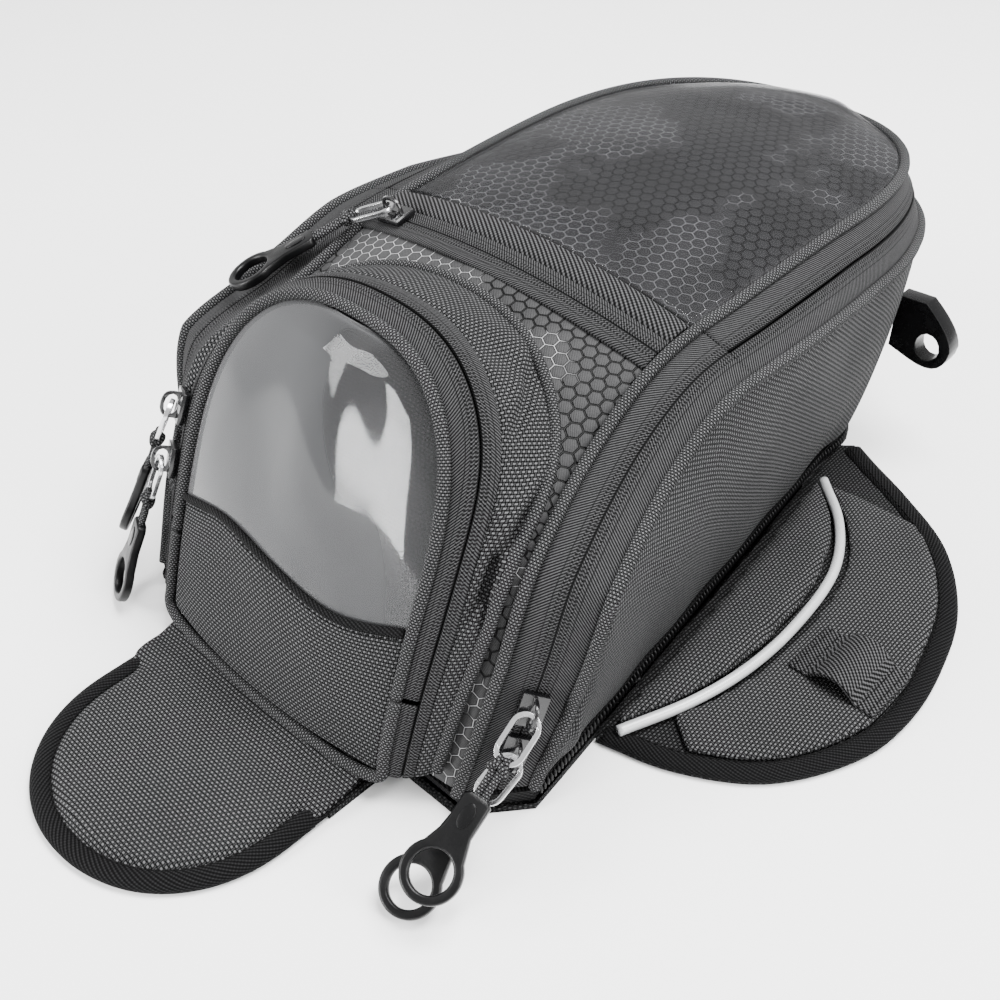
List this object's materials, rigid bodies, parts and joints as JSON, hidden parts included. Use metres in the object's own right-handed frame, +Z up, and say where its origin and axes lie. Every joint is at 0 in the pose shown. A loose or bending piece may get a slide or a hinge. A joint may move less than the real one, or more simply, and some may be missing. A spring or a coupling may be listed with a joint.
{
  "type": "motorcycle tank bag",
  "caption": "Soft motorcycle tank bag on a magnetic base, with a hinged lid over a zipped main compartment, a clear phone pocket, and fold-down magnetic flaps.",
  "frame": {"origin": "middle of the flat underside of the base, on the surface the bag stands on", "axes": "+Z up, +Y from the phone pocket towards the rounded far end, +X towards the right-hand wing seen from the phone pocket end"},
  "size_m": [0.3482, 0.4285, 0.1448],
  "materials": {
    "fabric": "matte woven charcoal nylon",
    "ripstop": "ripstop nylon with a honeycomb of raised threads",
    "zip_tape": "matte herringbone zip tape and webbing",
    "clear_vinyl": "clear flexible vinyl",
    "reflective": "silver reflective piping",
    "black_metal": "glossy black enamel",
    "nickel": "polished nickel",
    "rubber": "satin moulded rubber",
    "moulded_plastic": "glossy black moulded plastic",
    "magnet_steel": "plated magnet"
  },
  "bodies": {
    "bag": {"base_plate": "fabric", "base_zip_band": "zip_tape", "bag_floor": "fabric", "side_panel_right": "fabric", "side_panel_left": "fabric", "rear_piping_right": "reflective", "rear_piping_left": "reflective", "rear_panel": "fabric", "gusset_tape": "zip_tape", "front_panel": "ripstop", "map_zip_tape": "zip_tape", "map_binding": "zip_tape", "front_piping_right": "fabric", "front_piping_left": "fabric", "lower_piping": "fabric", "pocket_shell": "fabric", "pocket_base_piping": "fabric", "pocket_lower_piping": "fabric", "pocket_lower_panel": "fabric", "strap_lug_right": "moulded_plastic", "strap_lug_left": "moulded_plastic"},
    "lid": {"lid_panel": "ripstop", "map_window": "clear_vinyl", "lid_piping": "fabric", "lid_gusset_tape": "zip_tape"},
    "pocket_cover": {"cover_panel": "fabric", "cover_window": "clear_vinyl", "cover_piping": "fabric", "cover_zip_tape": "zip_tape"},
    "front_flap": {"flap_sheet": "fabric", "flap_pad": "fabric", "flap_magnet": "magnet_steel"},
    "right_wing": {"wing_sheet_right": "fabric", "wing_pad_right": "fabric", "wing_magnet_right": "magnet_steel", "wing_roll_right": "fabric", "wing_piping_right": "reflective", "wing_loop_right": "zip_tape"},
    "left_wing": {"wing_sheet_left": "fabric", "wing_pad_left": "fabric", "wing_magnet_left": "magnet_steel", "wing_roll_left": "fabric", "wing_piping_left": "reflective", "wing_loop_left": "zip_tape"},
    "main_upper_runner": {"main_upper_slider": "black_metal"},
    "main_upper_finger_pull": {"main_upper_link": "nickel", "main_upper_pull": "rubber"},
    "main_lower_runner": {"main_lower_slider": "black_metal"},
    "main_lower_finger_pull": {"main_lower_link": "nickel", "main_lower_pull": "rubber"},
    "pocket_upper_runner": {"pocket_upper_slider": "black_metal"},
    "pocket_upper_finger_pull": {"pocket_upper_link": "nickel", "pocket_upper_pull": "rubber"},
    "pocket_lower_runner": {"pocket_lower_slider": "black_metal"},
    "pocket_lower_finger_pull": {"pocket_lower_link": "nickel", "pocket_lower_pull": "rubber"},
    "map_runner": {"map_slider": "black_metal"},
    "map_finger_pull": {"map_link": "nickel", "map_pull": "rubber"},
    "base_runner": {"base_slider": "black_metal"}
  },
  "joints": [
    {"name": "lid_hinge", "type": "hinge", "parent": "bag", "child": "lid", "pos_m": [0, -0.024, 0.138], "axis": [1, 0, 0], "range_deg": [0, 105]},
    {"name": "pocket_cover_hinge", "type": "hinge", "parent": "bag", "child": "pocket_cover", "pos_m": [0, -0.1632, 0.0425], "axis": [1, 0, 0], "range_deg": [0, 90]},
    {"name": "front_flap_fold", "type": "hinge", "parent": "bag", "child": "front_flap", "pos_m": [0, -0.184, 0.0014], "axis": [-1, 0, 0], "range_deg": [-45, 45]},
    {"name": "right_wing_fold", "type": "hinge", "parent": "bag", "child": "right_wing", "pos_m": [0.10198, -0.13071, 0.0015], "axis": [-0.143, -0.9897, 0], "range_deg": [-50, 45]},
    {"name": "left_wing_fold", "type": "hinge", "parent": "bag", "child": "left_wing", "pos_m": [-0.10198, -0.13071, 0.0015], "axis": [-0.143, 0.9897, 0], "range_deg": [-50, 45]},
    {"name": "main_upper_zip_travel", "type": "slide", "parent": "bag", "child": "main_upper_runner", "axis": [0.1664, 0.2632, 0.9503], "range_m": [0, 0.02]},
    {"name": "main_upper_pull_swing", "type": "hinge", "parent": "main_upper_runner", "child": "main_upper_finger_pull", "pos_m": [0.09937, -0.13176, 0.04641], "axis": [-0.971, -0.1713, 0.1669], "range_deg": [0, 60]},
    {"name": "main_lower_zip_travel", "type": "slide", "parent": "bag", "child": "main_lower_runner", "axis": [0.1099, 0.3381, 0.9347], "range_m": [0, 0.003]},
    {"name": "main_lower_pull_swing", "type": "hinge", "parent": "main_lower_runner", "child": "main_lower_finger_pull", "pos_m": [0.09807, -0.13805, 0.03002], "axis": [-0.9792, -0.0607, 0.1937], "range_deg": [0, 6]},
    {"name": "pocket_upper_zip_travel", "type": "slide", "parent": "bag", "child": "pocket_upper_runner", "axis": [0.0227, 0.4166, 0.9088], "range_m": [0, 0.012]},
    {"name": "pocket_upper_pull_swing", "type": "hinge", "parent": "pocket_upper_runner", "child": "pocket_upper_finger_pull", "pos_m": [-0.07478, -0.13894, 0.0848], "axis": [-0.5801, 0.812, 0.0645], "range_deg": [0, 60]},
    {"name": "pocket_lower_zip_travel", "type": "slide", "parent": "bag", "child": "pocket_lower_runner", "axis": [-0.0366, 0.3639, 0.9307], "range_m": [-0.03, 0]},
    {"name": "pocket_lower_pull_swing", "type": "hinge", "parent": "pocket_lower_runner", "child": "pocket_lower_finger_pull", "pos_m": [-0.07459, -0.14731, 0.0643], "axis": [-0.8842, 0.467, -0.0099], "range_deg": [0, 60]},
    {"name": "map_zip_travel", "type": "slide", "parent": "bag", "child": "map_runner", "axis": [0.9808, -0.0486, 0.1888], "range_m": [0, 0.012]},
    {"name": "map_pull_swing", "type": "hinge", "parent": "map_runner", "child": "map_finger_pull", "pos_m": [-0.05574, -0.04302, 0.13506], "axis": [-0.5156, 0.8568, 0.0033], "range_deg": [0, 60]},
    {"name": "base_zip_travel", "type": "slide", "parent": "bag", "child": "base_runner", "axis": [0.143, 0.9897, 0], "range_m": [0, 0.15]}
  ]
}
